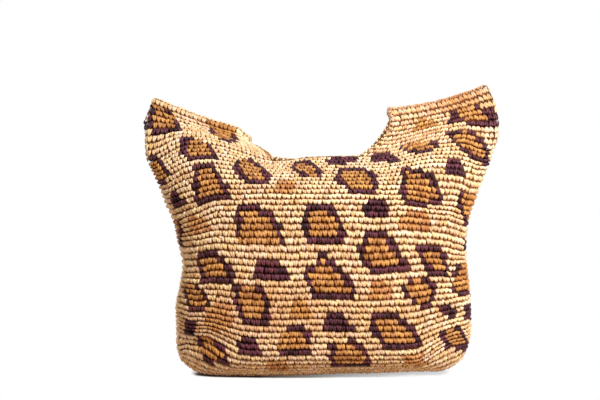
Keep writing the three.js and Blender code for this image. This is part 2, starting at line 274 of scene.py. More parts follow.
# Round, then how far a course rises at the left end, from and up to which share, and the same
# on the right, and the shoulder
LAID = np.array([
    (1, 0.020, 0.62, 0.96, 0.028, 0.6, 0.9, 0),
    (3, 0.024, 0.58, 0.90, 0.028, 0.6, 0.9, 0),
    (4.5, 0.024, 0.55, 0.84, 0.025, 0.6, 0.9, 0),
    (6, 0.020, 0.52, 0.80, 0.020, 0.6, 0.9, 0),
    (8, 0.0125, 0.5, 0.80, 0.015, 0.6, 0.9, 0),
    (10, 0.007, 0.5, 0.80, 0.0115, 0.6, 0.9, 0),
    (14, 0.001, 0.55, 1.0, 0.004, 0.6, 0.95, 0.002),
    (18, -0.012, 0.65, 1.35, -0.003, 0.55, 1.0, 0.002),
    (22, -0.016, 0.62, 1.25, -0.0075, 0.45, 1.05, 0),
    (25, -0.040, 0.6, 1.3, -0.009, 0.45, 1.05, 0),
    (28, -0.044, 0.6, 1.32, -0.012, 0.4, 1.0, 0),
    (30, -0.042, 0.6, 1.32, -0.009, 0.45, 1.0, 0.002),
    (33, -0.034, 0.65, 1.35, -0.002, 0.75, 1.25, 0.009),
])
ROUND_TALL = 0.0088
# The lowest courses curl round the left corner: between which shares, how much, and between
# which rounds that ends
CURL_FROM, CURL_TO, CURL, CURL_LOW, CURL_HIGH = 0.92, 1.0, 0.4, 3.0, 5.0
# Higher courses fall away at the right end: between which shares, how far, and in which rounds
FALL_FROM, FALL_TO, FALL, FALL_ROUNDS = 0.85, 1.0, 0.010, (17, 22, 29, 33)
# Courses wave a little: height, waves round the bag, where they start, and turns of them up the bag
WAVES = [(0.0005, 9, 0.15, 0.3), (0.0004, 16, 0.6, -0.8)]
# Below this round courses are held by the base, as they are by the mouth above MOUTH_FROM
FREE_ROUND = 3


def laid_rounds(courses, turns):
    """The place on the body's surface, in rounds, of courses at every turn."""
    rounds = curve_through(COURSE_ROUNDS[:, 0], COURSE_ROUNDS[:, 1:], courses)
    square, *rise = curve_through(BODY_ROUND, BODY_SHAPE, rounds[:, 0]).T[SQUARE:, :, None]
    within = np.clip(rounds[:, 0], LAID[0, 0], LAID[-1, 0])
    laid = curve_through(LAID[:, 0], LAID[:, 1:], within).T[:, :, None]
    left, left_from, left_to, right, right_from, right_to, shoulder = laid
    on_right = np.sin(2 * np.pi * turns) > 0
    share = np.abs(np.sin(2 * np.pi * turns)) ** (2 / square)
    curl = CURL * smooth(share, CURL_FROM, CURL_TO) * (1 - smooth(rounds, CURL_LOW, CURL_HIGH))
    first, full, easing, last = FALL_ROUNDS
    falling = smooth(rounds, first, full) * (1 - smooth(rounds, easing, last))
    at_right = right * smooth(share, right_from, right_to)
    at_right = at_right - FALL * smooth(share, FALL_FROM, FALL_TO) * falling
    at_left = left * smooth(share, left_from, left_to) * (1 - curl)
    wanted = shoulder * hump_of(share) + np.where(on_right, at_right, at_left)
    for tall, count, start, climb in WAVES:
        wanted = wanted + tall * np.sin(2 * np.pi * (count * turns + start + climb * rounds / ROUNDS))
    slide = (wanted - rise_of(share, on_right, *rise)) / ROUND_TALL
    free = smooth(rounds, 0, FREE_ROUND) * (1 - smooth(rounds, MOUTH_FROM, ROUNDS))
    return np.clip(rounds + free * slide, 0, ROUNDS)


print(f"{BODY_COURSES} courses lie on {ROUNDS} rounds")

# %% [markdown]
# The bag doesn't stand on all of its edge: on the right, the front of the bottom is lifted
# off the floor. The lift is added last, to the base as well as to the body, so that the
# two stay together.

# %% The body
# Where the front of the bottom is lifted off the floor: middle x, half width, lift
LIFTED = [(0.03, 0.05, 0.0025), (0.125, 0.06, 0.005)]
LIFTED_TALL = 0.035
LIFTED_FROM, LIFTED_TO = -0.022, 0.005
SAMPLES_AROUND, POINTS_AROUND = 1440, 720
WAIST_COURSE = 14


def lift_front(points):
    """How far points of the bottom are lifted, by their place."""
    x, y, z = np.moveaxis(points, -1, 0)
    lift = sum(most * np.exp(-((x - middle) / half) ** 2) for middle, half, most in LIFTED)
    return lift * (1 - smooth(z, 0, LIFTED_TALL)) * (1 - smooth(y, LIFTED_FROM, LIFTED_TO))


all_turns = np.linspace(0, 1, SAMPLES_AROUND + 1)
all_courses = np.linspace(0, BODY_COURSES, BODY_COURSES * ROWS_A_COURSE + 1)
body_rows = body_points(laid_rounds(all_courses, all_turns), all_turns)
body_rows[..., 2] += lift_front(body_rows)
body = Fabric(spread_evenly(body_rows, POINTS_AROUND), closed=True)
print(f"The body is {body.length(WAIST_COURSE) * 1000:.0f} mm round at its waist")

# %% [markdown]
# ## The base
# A crocheted base starts as a chain along the middle and grows in ovals around it. So
# the base's surface runs from that chain outward, with its outside facing down. It is
# raised a little, because the bag stands on the stitches and not on the middle of them.

# %% The base's rounds
BASE_ROUNDS = 4
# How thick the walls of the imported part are
WALL = 0.003
CHAIN_LEFT, CHAIN_RIGHT, CHAIN_Y = -0.140, 0.136, 0.008
BASE_INSET = 0.0026
BASE_RAISED = 0.0012

body_edge = body.rows[0]
base_edge = body_edge - BASE_INSET * unit((body_edge - body_edge.mean(axis=0)) * (1, 1, 0))
chain = np.stack([
    np.clip(base_edge[:, 0], CHAIN_LEFT, CHAIN_RIGHT),
    np.full(len(base_edge), CHAIN_Y),
    base_edge[:, 2],
], axis=1)
grown = np.linspace(0, 1, BASE_ROUNDS * ROWS_A_COURSE + 1)[:, None, None]
base_rows = chain + (base_edge - chain) * grown
base_x = base_rows[..., 0]
_, base_left, base_right, *_ = BODY_SHAPE[0]
end_share = np.clip(np.abs(base_x) / np.where(base_x > 0, base_right, -base_left), 0, 1)
base_rows[..., 2] = WALL / 2 + BASE_RAISED
base_rows[..., 2] += rise_of(end_share, base_x > 0, *BODY_SHAPE[0, RISE:])
base_rows[..., 2] += lift_front(base_rows)
base = Fabric(base_rows, closed=True)
# The chain has no width to face from, so it faces as the next row does
base.normals[0] = base.normals[1]
print(f"The base is {base.length(BASE_ROUNDS - 1) * 1000:.0f} mm round")

# %% [markdown]
# ## The strap
# The strap is a flat tube: two layers that are joined along the outer edge. It grows out
# of the body's top round as an ear, turns over a fold, hangs behind the bag as a swag,
# and comes back over the other fold. Every section of it is a hairpin seen from its end,
# so one function draws all of them.

# %% Hairpin sections
# How far the first layer lies from the line between the two edges, and the second from it
LAYER_NEAR, LAYER_GAP = 0.0035, 0.006
LEG_SHARE = 0.45
DROOP_SHARE = 0.18
LEG_POINTS, BOW_POINTS = 32, 10
ACROSS = np.concatenate([
    np.linspace(0, LEG_SHARE, LEG_POINTS, endpoint=False),
    np.linspace(LEG_SHARE, 1 - LEG_SHARE, BOW_POINTS, endpoint=False),
    np.linspace(1 - LEG_SHARE, 1, LEG_POINTS + 1),
])


def hairpin(inner, outer, way, sag=0.0, droop=0.0):
    """A folded section between two edges, with its layers stacked along "way"."""
    radius = LAYER_GAP / 2
    length = np.linalg.norm(outer - inner) - radius
    on_leg = (ACROSS < LEG_SHARE) | (ACROSS > 1 - LEG_SHARE)
    bow = np.pi * np.clip((ACROSS - LEG_SHARE) / (1 - 2 * LEG_SHARE), 0, 1)
    leg = length * np.minimum(ACROSS, 1 - ACROSS) / LEG_SHARE
    reach = np.where(on_leg, leg, length + radius * np.sin(bow))
    out_share = np.minimum(1, reach / length)
    dip = sag * np.sin(np.pi * out_share)
    dip = dip + droop * np.maximum(0, 1 - out_share / DROOP_SHARE) ** 2
    section = inner + reach[:, None] * unit(outer - inner)
    section = section + (LAYER_NEAR + radius - radius * np.cos(bow))[:, None] * way
    section[:, 2] -= dip
    return section


print(f"A section of the strap has {len(ACROSS)} points")

# %% [markdown]
# ### Ears
# An ear is shaped by its two ends: the end of the body's top round that it grows from, and
# the fold that it turns over. In a modelling window one would bridge the two loops. Here
# smooth curves do that, because their slopes say how far the front runs on before it rises.

# %% Folds over the ears
FOLD_START, FOLD_END, FOLD_NUDGE = 64, -90, 4
FOLD_STEPS = 24
# Where the ear starts on the mouth, the ends of its fold, how far the fold sags and its inner
# end droops, how far the outer edge bulges, how far the front's inner edge swells, also high
# up, how far both inner edges are set back, and how far the front runs on before it rises
EARS = {
    "left": dict(
        mouth=-0.062, fold_in=(-0.095, 0.055, 0.2897), fold_out=(-0.2165, 0.061, 0.331),
        sag=0.0025, droop=0.011, bulge=0.0, swell=0.016, high=0.006, inset=0.0, shelf=0.084),
    "right": dict(
        mouth=0.044, fold_in=(0.083, 0.054, 0.3175), fold_out=(0.208, 0.059, 0.3465),
        sag=0.005, droop=0.0, bulge=0.005, swell=0.0, high=0.0, inset=0.005, shelf=0.074),
}


def fold_section(ear, degrees):
    """The section that has turned through an angle over an ear's fold."""
    inner, outer = np.array(ear["fold_in"]), np.array(ear["fold_out"])
    axis = unit(outer - inner)
    way = np.array([0, -np.sin(np.radians(degrees)), np.cos(np.radians(degrees))])
    way = unit(way - way @ axis * axis)
    return hairpin(inner, outer, way, ear["sag"], ear["droop"])


def fold_rows(ear):
    """The sections over the top of one ear."""
    angles = np.linspace(FOLD_START, FOLD_END, FOLD_STEPS, endpoint=False)
    return np.array([fold_section(ear, degrees) for degrees in angles])


print(f"Each fold turns through {FOLD_START - FOLD_END} degrees")

# %% Ears
SEAM_GAP = 0.00165
LEAVING_BACK, LEAVING_EDGE = 0.034, 0.046
ARRIVING_BACK, ARRIVING_FRONT = 0.014, 0.052
INNER_POWER, OUTER_POWER = 8, 4
EAR_STEPS = 48
# Brings the peak of s ** 4 * (1 - s) to about 1
HIGH_PEAK = 12.2


def ear_root(ear):
    """The part of the body's top round that an ear grows from, and how the wall runs."""
    _, left, right, _, _, _, square, *_ = BODY_SHAPE[-1]
    on_right = ear["mouth"] > 0
    share = ear["mouth"] / (right if on_right else left)
    quarter = np.arcsin(share ** (square / 2)) / (2 * np.pi)
    start, end = (0.5 - quarter, quarter) if on_right else (0.5 + quarter, 1 - quarter)
    curves = body_points([[ROUNDS], [ROUNDS - 1]], np.linspace(start, end, SAMPLES_AROUND))
    places = np.linspace(0, 1, SAMPLES_AROUND + 1)
    top, below = (read_along(row, places, ACROSS) for row in spread_evenly(curves, SAMPLES_AROUND))
    return top, unit(top - below)


def ear_rows(ear):
    """The sections from the body's top round to the start of the fold."""
    top, way = ear_root(ear)
    fold = fold_section(ear, FOLD_START)
    rising = unit(fold_section(ear, FOLD_START - FOLD_NUDGE) - fold)
    endness = np.sin(np.pi * ACROSS)[:, None] ** OUTER_POWER
    inness = np.maximum(0, 2 * ACROSS - 1)[:, None] ** INNER_POWER
    edgeness = np.abs(2 * ACROSS - 1)[:, None] ** INNER_POWER
    on_front = ACROSS[:, None] > 0.5
    leaving = np.where(on_front, ear["shelf"], LEAVING_BACK)
    leaving = leaving + (LEAVING_EDGE - leaving) * endness
    arriving = np.where(on_front, ARRIVING_FRONT, ARRIVING_BACK)
    arriving = arriving + (ARRIVING_FRONT - arriving) * endness
    s = np.linspace(0, 1, EAR_STEPS, endpoint=False)[:, None, None]
    rows = hermite(top + SEAM_GAP * way, fold, leaving * way, arriving * rising, s)
    bulge = ear["bulge"] * endness - ear["swell"] * inness + ear["inset"] * edgeness
    bulge = bulge * np.sin(np.pi * s) - ear["high"] * inness * HIGH_PEAK * s ** 4 * (1 - s)
    rows[..., 0] += np.sign(ear["mouth"]) * bulge[..., 0]
    return rows


ear_ends = {name: np.vstack([ear_rows(ear), fold_rows(ear)]) for name, ear in EARS.items()}
print({name: len(rows) for name, rows in ear_ends.items()}, "sections shape the ears")

# %% [markdown]
# ### Swag
# The rest of the strap is hidden in the photograph. A soft band that is fixed at both ends
# hangs in a curve, so its two edges are drawn as slack curves through a few points.

# %% The swag
SWAG_DROP = 0.030
# Inner edge x and z, outer edge x and z, and y
SWAG = np.array([
    (-0.090, 0.222, -0.196, 0.232, 0.0615),
    (-0.052, 0.194, -0.116, 0.156, 0.064),
    (0.0, 0.185, -0.002, 0.126, 0.065),
    (0.050, 0.196, 0.112, 0.158, 0.064),
    (0.084, 0.234, 0.188, 0.240, 0.061),
])
# For each edge, the columns with its x, y and z
SWAG_EDGES = {"fold_in": (0, 4, 1), "fold_out": (2, 4, 3)}
SWAG_STEPS = 300


def rope_curve(points, at):
    """A slack curve through points, with its knots as far apart as roots of the gaps."""
    knots = np.sqrt(np.linalg.norm(np.diff(points, axis=0), axis=1))
    points = np.vstack([2 * points[0] - points[1], points, 2 * points[-1] - points[-2]])
    knots = np.concatenate([knots[:1], knots, knots[-1:]])[:, None]
    secants = np.diff(points, axis=0) / knots
    slopes = secants[:-1] + secants[1:]
    slopes = slopes - (points[2:] - points[:-2]) / (knots[:-1] + knots[1:])
    places = at * (len(points) - 3)
    k = np.minimum(places.astype(int), len(points) - 4)
    t, knot = (places - k)[:, None], knots[k + 1]
    return hermite(points[k + 1], points[k + 2], slopes[k] * knot, slopes[k + 1] * knot, t)


def swag_rows():
    """The sections that hang behind the bag, from the left fold to the right one."""
    edges = []
    for edge, columns in SWAG_EDGES.items():
        ends = []
        for ear in EARS.values():
            axis = unit((np.array(ear["fold_out"]) - ear["fold_in"]) * (1, 0, 1))
            down = np.array([np.sign(axis[0]) * abs(axis[2]), 0, -abs(axis[0])])
            ends.append([ear[edge], ear[edge] + SWAG_DROP * down])
        points = np.vstack([ends[0], SWAG[:, columns], ends[1][::-1]])
        edges.append(rope_curve(points, np.linspace(0, 1, SWAG_STEPS + 1)))
    behind = np.array([0.0, 1.0, 0.0])
    return np.array([hairpin(inner, outer, behind) for inner, outer in zip(*edges)])


sections = np.vstack([ear_ends["left"], swag_rows(), ear_ends["right"][::-1]])
print(f"The whole strap has {len(sections)} sections")

# %% [markdown]
# The sections are close together where the strap bends and far apart where it is straight.
# So courses are counted along it, finer on the left ear as in the photograph, and the
# strap's grid is read from the sections at those places.

# %% The whole strap
# Share of the strap's length, and how tall a course is there
STRAP_COURSE = np.array([(0, 0.0061), (0.2, 0.0061), (0.3, 0.0074), (1, 0.0074)])
POINTS_ACROSS = 192

sections = spread_evenly(sections, POINTS_ACROSS)
steps = np.linalg.norm(np.diff(sections, axis=0), axis=2).mean(axis=1)
strap_reach = np.concatenate([[0], np.cumsum(steps)])
course_tall = np.interp(strap_reach / strap_reach[-1], *STRAP_COURSE.T)
worked = np.concatenate([[0], np.cumsum(steps / course_tall[1:])])
strap_courses = round(worked[-1])
worked = worked * strap_courses / worked[-1]
row_courses = np.linspace(0, strap_courses, strap_courses * ROWS_A_COURSE + 1)
row_reach = np.interp(row_courses, worked, strap_reach)
before = np.clip(np.searchsorted(strap_reach, row_reach) - 1, 0, len(steps) - 1)
past = ((row_reach - strap_reach[before]) / steps[before])[:, None, None]
strap = Fabric(sections[before] * (1 - past) + sections[before + 1] * past)

# The courses at the top of each fold, where the left ear ends and where the right one starts
ear_sections = len(ear_ends["left"])
left_top, left_last = (round(worked[ear_sections - back]) for back in (FOLD_STEPS // 2, 0))
right_top, right_first = (round(worked[on - ear_sections]) for on in (FOLD_STEPS // 2, -1))
print(f"The strap has {strap_courses} courses and is {strap_reach[-1] * 1000:.0f} mm long")

# %% [markdown]
# ## The pattern
# The spots are worked in while crocheting, by changing to a darker yarn for a few
# stitches. A picture could be wrapped round the bag, but then its edges would cut through
# stitches. Here each spot is a small outline, and every stitch asks which spot it is in
# and whether it is near that spot's edge. So edges step from stitch to stitch, as they do
# on the real bag. The front's spots are placed by the photograph, in pixels.

# %% Spots that the photograph shows
NATURAL, TAN, DARK, PALE = 0, 1, 2, 3
# Each spot has a kind: "ringed" has a dark edge and a tan middle, "fine" the same with thinner
# sides, and the others are of one yarn. Then comes its outline from the top left, clockwise,
# in pixels, and which sides of the outline carry no dark edge.
PHOTO_SPOTS = [
    # Left ear and shoulder
    ("fine", [(146, 104), (168, 107), (174, 114), (179, 123), (183, 131), (141, 133),
              (138, 117)], (0, 2)),
    ("dark", [(138, 103), (152, 103), (154, 118), (152, 131), (138, 131)], ()),
    ("fine", [(179, 136), (189, 137), (207, 143), (219, 158), (186, 159), (179, 152)], (1,)),
    ("dark", [(179, 136), (188, 137), (189, 153), (184, 156), (179, 152)], ()),
    ("ringed", [(193, 166), (213, 165), (222, 178), (230, 187), (230, 197), (194, 204)], ()),
    ("ringed", [(237, 161), (252, 160), (264, 167), (270, 176), (270, 183), (245, 183), (236, 172),
                (233, 165)], (0,)),
    ("ringed", [(207, 121), (233, 127), (238, 137), (237, 144), (224, 142), (210, 134)],
     (0, 1, 4, 5)),
    ("dark", [(209, 127), (215, 128), (216, 135), (210, 134)], ()),
    ("ringed", [(149, 154), (156, 156), (173, 174), (161, 187), (144, 170)], (3, 4)),
    ("dark", [(170, 192), (177, 190), (187, 203), (177, 210), (173, 204)], ()),
    ("pale", [(262, 151), (267, 152), (275, 158), (266, 157)], ()),
    ("ringed", [(168, 217), (179, 218), (183, 226), (183, 245), (170, 245)], (0, 3, 4)),
    ("pale", [(189, 216), (208, 218), (211, 231), (189, 234)], ()),
    # Upper middle
    ("ringed", [(292, 162), (308, 161), (317, 166), (324, 174), (322, 179), (306, 179),
                (291, 169)], ()),
    ("dark", [(326, 160), (340, 157), (357, 157), (358, 162), (340, 165), (326, 164)], ()),
    ("ringed", [(345, 168), (366, 168), (377, 176), (378, 186), (373, 193), (353, 193),
                (336, 182), (336, 171)], ()),
    ("pale", [(281, 180), (293, 180), (297, 189), (290, 195), (275, 195), (277, 187)], ()),
    ("dark", [(374, 153), (390, 152), (403, 160), (402, 163), (372, 163)], ()),
    # Middle
    ("ringed", [(241, 205), (256, 205), (272, 213), (283, 230), (284, 246), (240, 246),
                (235, 238), (237, 211)], (4, 5)),
    ("ringed", [(311, 205), (330, 205), (340, 216), (346, 232), (341, 245), (309, 245),
                (303, 228), (303, 211)], ()),
    ("dark", [(369, 199), (383, 199), (391, 207), (387, 216), (363, 216), (363, 207)], ()),
    ("dark", [(262, 258), (278, 258), (289, 274), (289, 280), (253, 280), (253, 272)], ()),
    ("ringed", [(370, 230), (386, 230), (392, 238), (404, 257), (410, 264), (409, 271),
                (372, 274), (358, 256), (358, 250), (364, 237)], ()),
    ("ringed", [(319, 252), (323, 252), (341, 266), (351, 280), (357, 291), (356, 300),
                (315, 301), (305, 283), (305, 266), (314, 264)], (0, 9)),
    ("pale", [(406, 210), (424, 210), (432, 230), (395, 231)], ()),
    ("pale", [(371, 280), (382, 280), (391, 290), (390, 300), (369, 300)], ()),
    ("tan", [(291, 301), (307, 301), (312, 318), (291, 320)], ()),
    # Left side
    ("ringed", [(199, 250), (212, 250), (224, 257), (229, 266), (234, 271), (234, 284),
                (203, 284), (196, 262)], ()),
    ("fine", [(185, 283), (197, 283), (205, 292), (210, 302), (214, 311), (190, 312),
              (184, 292)], (0,)),
    ("ringed", [(234, 287), (262, 289), (270, 298), (270, 325), (243, 325), (234, 305)], (0,)),
    ("dark", [(187, 320), (195, 320), (198, 326), (194, 335), (186, 335)], ()),
    ("pale", [(205, 305), (230, 303), (233, 318), (231, 331), (208, 331)], ()),
    # Lower front
    ("fine", [(200, 335), (207, 336), (221, 343), (226, 352), (229, 360), (228, 365),
              (204, 365), (198, 344)], (0, 1, 2, 6, 7)),
    ("dark", [(199, 335), (204, 336), (205, 346), (199, 346)], ()),
    ("dark", [(213, 341), (221, 342), (222, 349), (214, 348)], ()),
    ("dark", [(244, 335), (253, 335), (257, 342), (264, 352), (264, 355), (237, 355),
              (238, 346)], ()),
    ("fine", [(292, 326), (301, 326), (311, 334), (311, 355), (283, 355), (277, 345),
              (279, 333)], (4, 5, 6)),
    ("dark", [(331, 312), (339, 312), (354, 327), (354, 332), (323, 332), (324, 325)], ()),
    ("ringed", [(375, 311), (391, 311), (409, 323), (420, 334), (421, 347), (384, 348),
                (371, 331), (371, 319)], ()),
    ("ringed", [(333, 341), (355, 341), (367, 349), (372, 360), (371, 367), (332, 367),
                (328, 348)], ()),
    ("pale", [(404, 353), (422, 352), (428, 366), (403, 366)], ()),
    ("pale", [(268, 361), (288, 361), (290, 371), (268, 371)], ()),
    # Right side
    ("ringed", [(418, 243), (439, 243), (448, 258), (449, 277), (431, 277), (418, 257)], ()),
    ("fine", [(409, 277), (426, 278), (436, 284), (436, 298), (432, 308), (418, 308),
              (407, 298), (403, 287)], (0,)),
    ("dark", [(440, 303), (450, 303), (457, 313), (456, 317), (441, 317)], ()),
    ("ringed", [(439, 332), (455, 327), (463, 329), (467, 340), (467, 352), (445, 348)], (0,)),
    ("fine", [(461, 262), (474, 262), (474, 296), (457, 296), (451, 287), (454, 272)], (0, 1)),
    ("dark", [(464, 242), (471, 242), (471, 252), (463, 252)], ()),
    ("dark", [(463, 304), (471, 304), (471, 320), (465, 318)], ()),
    # Right ear and shoulder
    ("ringed", [(447, 109), (480, 106), (490, 108), (500, 118), (500, 125), (476, 123),
                (450, 122)], (0, 2, 3)),
    ("dark", [(446, 109), (456, 108), (457, 122), (449, 122)], ()),
    ("dark", [(481, 107), (490, 108), (500, 117), (500, 124), (488, 122)], ()),
    ("tan", [(416, 120), (429, 118), (437, 124), (436, 128), (413, 131)], ()),
    ("ringed", [(443, 131), (456, 129), (470, 128), (484, 141), (490, 152), (488, 168),
                (462, 152)], (1,)),
    ("ringed", [(401, 147), (412, 142), (436, 141), (441, 148), (418, 154), (404, 152)], (0, 1)),
    ("dark", [(449, 158), (454, 157), (463, 163), (468, 178), (467, 181), (446, 172)], ()),
    ("ringed", [(401, 169), (422, 168), (437, 179), (443, 197), (443, 206), (408, 206),
                (401, 197)], ()),
    ("ringed", [(460, 189), (466, 189), (478, 200), (476, 226), (464, 224), (458, 205)], (1, 2)),
]
print(f"The photograph shows {len(PHOTO_SPOTS)} spots")

# %% [markdown]
# To find its yarn, a stitch is compared with every outline in turn. It is inside one if a
# level line from it crosses the outline an odd number of times. How far it is from a dark
# side is counted in stitches along the course and in courses across it, so that a dark
# edge is about one stitch wide wherever it runs.

# %% Which yarn a stitch takes
RIM_STITCHES, RIM_COURSES = 1.25, 0.95
# How wide the sides of a "fine" spot are, against those of a "ringed" one
FINE = 0.64


def paint(spots, x, y, rim_x, rim_y):
    """The yarn of stitches at x, y. Rims are that many units wide on each axis."""
    yarns = np.full(x.shape, NATURAL)
    for kind, outline, bare in spots:
        inside, edge = np.zeros(x.shape, bool), np.full(x.shape, np.inf)
        rim = rim_x * (FINE if kind == "fine" else 1)
        for side, (ax, ay) in enumerate(outline):
            bx, by = outline[(side + 1) % len(outline)]
            slant = (bx - ax) / (by - ay) if by != ay else 0.0
            inside ^= ((ay > y) != (by > y)) & (x < ax + (y - ay) * slant)
            if side in bare:
                continue
            ux, uy = (bx - ax) / rim, (by - ay) / rim_y
            wx, wy = (x - ax) / rim, (y - ay) / rim_y
            t = np.clip((wx * ux + wy * uy) / (ux * ux + uy * uy), 0, 1)
            edge = np.minimum(edge, np.hypot(wx - t * ux, wy - t * uy))
        ringed = np.where(edge < 1, DARK, TAN)
        fill = {"ringed": ringed, "fine": ringed, "tan": TAN, "dark": DARK, "pale": PALE}[kind]
        yarns = np.where(inside, fill, yarns)
    return yarns


print(f"Dark edges are {RIM_STITCHES} stitches wide and {RIM_COURSES} courses tall")

# %% [markdown]
# The back, the base and the hanging strap don't show in the photograph. They get spots
# of the same kinds, scattered on a loose brick layout with a fixed seed, so that the bag
# looks the same each time it is made.

# %% Spots for the hidden sides
STITCH = 0.0056
SPOT_EVERY, SPOT_COURSES = 0.074, 8
SPOT_WIDE, SPOT_TALL = (0.040, 0.056), (4.8, 6.6)
SPOT_OUTLINE = np.array([(-0.45, 0.5), (0.1, 0.5), (0.36, 0.15), (0.5, -0.2), (0.5, -0.5),
                         (-0.4, -0.5), (-0.5, 0.1)])
SPOT_KINDS = {"ringed": 0.6, "dark": 0.2, "pale": 0.2}
DARK_SIZE = 0.68
MIRRORED = 0.25
# Where bricks start, how far every second row of them is moved, and how far spots stray
BRICK_START, BRICK_MOVE, STRAY_SHARE, STRAY_COURSES = 0.25, 0.5, 0.12, 0.9
BODY_SPOTS_SEED, STRAP_SPOTS_SEED = 4, 9
SWAG_MARGIN = 3


def scattered_spots(fabric, seed):
    """Spots in stitches along a course and courses up, all over a fabric."""
    rng = np.random.default_rng(seed)
    spots = []
    for brick, course in enumerate(np.arange(SPOT_COURSES / 2, fabric.courses, SPOT_COURSES)):
        length = fabric.length(int(course))
        count = max(1, round(length / SPOT_EVERY))
        for spot in range(count):
            share = spot + BRICK_START + BRICK_MOVE * (brick % 2)
            share = (share + rng.uniform(-STRAY_SHARE, STRAY_SHARE)) / count
            size = np.array([rng.uniform(*SPOT_WIDE) / STITCH, rng.uniform(*SPOT_TALL)])
            kind = str(rng.choice(list(SPOT_KINDS), p=list(SPOT_KINDS.values())))
            size = size * (DARK_SIZE if kind == "dark" else 1.0)
            flip = rng.choice([1, -1], p=[1 - MIRRORED, MIRRORED])
            up = course + rng.uniform(-STRAY_COURSES, STRAY_COURSES)
            outline = SPOT_OUTLINE * (flip, 1) * size + (share * length / STITCH, up)
            spots.append((kind, outline.tolist(), ()))
    return spots


swag_spots = [spot for spot in scattered_spots(strap, STRAP_SPOTS_SEED)
              if left_last + SWAG_MARGIN < np.mean(spot[1], axis=0)[1] < right_first - SWAG_MARGIN]
hidden_spots = {"body": scattered_spots(body, BODY_SPOTS_SEED), "base": [], "strap": swag_spots}
print({name: len(spots) for name, spots in hidden_spots.items()}, "spots are scattered")

# %% [markdown]
# A stitch that faces the camera takes its yarn from the photograph's spots, and any other
# from the scattered ones. How wide and tall a stitch appears differs from place to place,
# so the width of the dark edges is worked out in pixels for each stitch.

# %% The yarn at a place
SEEN_FROM = -0.15
LEAST_PIXELS = 2.5
# Along the strap's sections, its front layer starts here
FRONT_LAYER = 0.47
fabrics = {"body": body, "base": base, "strap": strap}


def front_of(node, course, along):
    """Which places may show: all of the body, none of the base, and the front of the ears."""
    if node == "strap":
        return (along > FRONT_LAYER) & ((course < left_top) | (course > right_top))
    return np.full(course.shape, node == "body")


def yarn_at(node, course, along, in_front):
    """The yarn of stitches by their place, from the photograph where it shows them."""
    fabric = fabrics[node]
    middle = fabric.at(course, along)
    facing = (unit(camera_place - middle) * fabric.normal(course, along)).sum(axis=-1)
    seen = in_front & (facing > SEEN_FROM)
    x, y = photo_pixels(middle)
    row = np.clip(course * ROWS_A_COURSE, 0, len(fabric.lengths) - 1).astype(int)
    half = STITCH / fabric.lengths[row] / 2
    wide = (photo_pixels(fabric.at(course, along + half))[0]
            - photo_pixels(fabric.at(course, along - half))[0])
    tall = (photo_pixels(fabric.at(course - 0.5, along))[1]
            - photo_pixels(fabric.at(course + 0.5, along))[1])
    rim_x = RIM_STITCHES * np.maximum(np.abs(wide), LEAST_PIXELS)
    rim_y = RIM_COURSES * np.maximum(np.abs(tall), LEAST_PIXELS)
    shown = paint(PHOTO_SPOTS, x, y, rim_x, rim_y)
    stitches = along * fabric.lengths[row] / STITCH
    hidden = paint(hidden_spots[node], stitches, course, RIM_STITCHES, RIM_COURSES)
    return np.where(seen, shown, hidden)


print(f"A stitch counts as at least {LEAST_PIXELS} pixels wide and tall")

# %% [markdown]
# ## Colours of the yarn
# Raffia is strips of palm leaf, and no two strips are the same colour. A strip lasts for
# less than two dozen stitches before the next is joined in. So the tone changes in runs
# along a course, and also from stitch to stitch as the strip twists. In a few places the
# natural yarn is darkened and made more orange, as painted shade.

# %% Yarn colours
RUN_STITCHES = 18
RUN_COURSES, RUNS_A_COURSE = 200, 64
RUN_WEIGHT = 0.35
YELLOW = 0.3
# Painted shade on the natural yarn: middle and half sizes in pixels, and how much
PAINTED_SHADE_PLACES = [(265, 313, 80, 24, 0.42), (456, 98, 38, 18, 0.62), (415, 130, 28, 15, 0.28)]
# The red, green and blue that full painted shade would take away
PAINTED_SHADE_LOSS = np.array([0.4, 0.75, 1.0])


def from_picture(red, green, blue):
    """A screen's colour, 0 to 255, in the linear values of light, by the sRGB formula."""
    shown = np.array([red, green, blue]) / 255
    return np.where(shown <= 0.04045, shown / 12.92, ((shown + 0.055) / 1.055) ** 2.4)


# The darkest and the lightest strips of the natural, tan, dark and pale yarns
YARNS = np.array([
    [from_picture(216, 168, 124), from_picture(255, 230, 202)],
    [from_picture(155, 96, 52), from_picture(226, 168, 104)],
    [from_picture(26, 7, 15), from_picture(114, 57, 76)],
    [from_picture(172, 106, 60), from_picture(232, 178, 124)],
])


def yarn_colours(yarns, course, along, stitches, rng):
    """A colour for each stitch: its yarn, the strip it belongs to, and its own twist."""
    runs = rng.uniform(0, 1, (RUN_COURSES, RUNS_A_COURSE))
    start = rng.uniform(0, RUN_STITCHES, RUN_COURSES)
    level = np.floor(course).astype(int) % RUN_COURSES
    run = ((along * stitches + start[level]) / RUN_STITCHES).astype(int) % RUNS_A_COURSE
    tone = RUN_WEIGHT * runs[level, run] + (1 - RUN_WEIGHT) * rng.uniform(0, 1, yarns.shape)
    low, high = YARNS[yarns, 0], YARNS[yarns, 1]
    colours = low + (high - low) * tone[:, None]
    colours[:, 2] *= rng.uniform(1 - YELLOW, 1, yarns.shape)
    return np.clip(colours, 0, 1)


def deepened(yarns, points):
    """Painted shade: how much light is left in stitches of natural yarn, by where they appear."""
    x, y = photo_pixels(points)
    deep = sum(most * np.exp(-((x - across) / wide) ** 2 - ((y - down) / tall) ** 2)
               for across, down, wide, tall, most in PAINTED_SHADE_PLACES)
    return 1 - np.where(yarns == NATURAL, deep, 0)[:, None] * PAINTED_SHADE_LOSS


print(f"There are {len(YARNS)} yarns, in strips of {RUN_STITCHES} stitches")

# %% [markdown]
# ## One stitch
# A single crochet stitch shows as a V: two legs of raffia that come out of the stitch
# below, lean apart and go under the stitch above. One leg is a five-sided tube of four
# rings. It is drawn out with extrude from a small disc, and then mirrored. Bag-sized
# crochet needs thousands of stitches, so each has only a few dozen faces.

